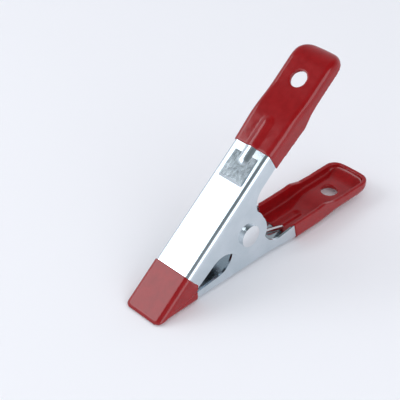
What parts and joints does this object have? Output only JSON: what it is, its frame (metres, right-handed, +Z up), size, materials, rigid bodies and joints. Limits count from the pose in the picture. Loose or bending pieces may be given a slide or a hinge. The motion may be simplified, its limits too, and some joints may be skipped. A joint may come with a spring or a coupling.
{
  "type": "spring clamp",
  "caption": "Hand spring clamp: two pressed steel channel arms crossed on a rivet, closed by a torsion spring, with vinyl-dipped handles and jaw tips.",
  "frame": {"origin": "middle of the overall box, on the surface the clamp lies on", "axes": "+X along the lower arm from the jaws to the handle, +Y across the clamp along the rivet, +Z up"},
  "size_m": [0.1074, 0.0204, 0.0664],
  "materials": {
    "zinc_plated_steel": "bright zinc plate",
    "rivet_steel": "bright zinc plate",
    "spring_wire": "bright drawn wire",
    "red_vinyl": "glossy dipped"
  },
  "bodies": {
    "lower_half": {"lower_arm": "zinc_plated_steel", "lower_handle_grip": "red_vinyl", "lower_jaw_tip": "red_vinyl", "torsion_spring": "spring_wire"},
    "upper_half": {"upper_arm": "zinc_plated_steel", "upper_handle_grip": "red_vinyl", "upper_jaw_tip": "red_vinyl", "pivot_rivet": "rivet_steel"}
  },
  "joints": [
    {"name": "jaw_hinge", "type": "hinge", "parent": "lower_half", "child": "upper_half", "pos_m": [-0.012, 0, 0.01581], "axis": [0, 1, 0], "range_deg": [0, 50], "stiffness_Nm_per_rad": 0.5, "springref_deg": -57.3, "deforming": ["torsion_spring"]}
  ]
}
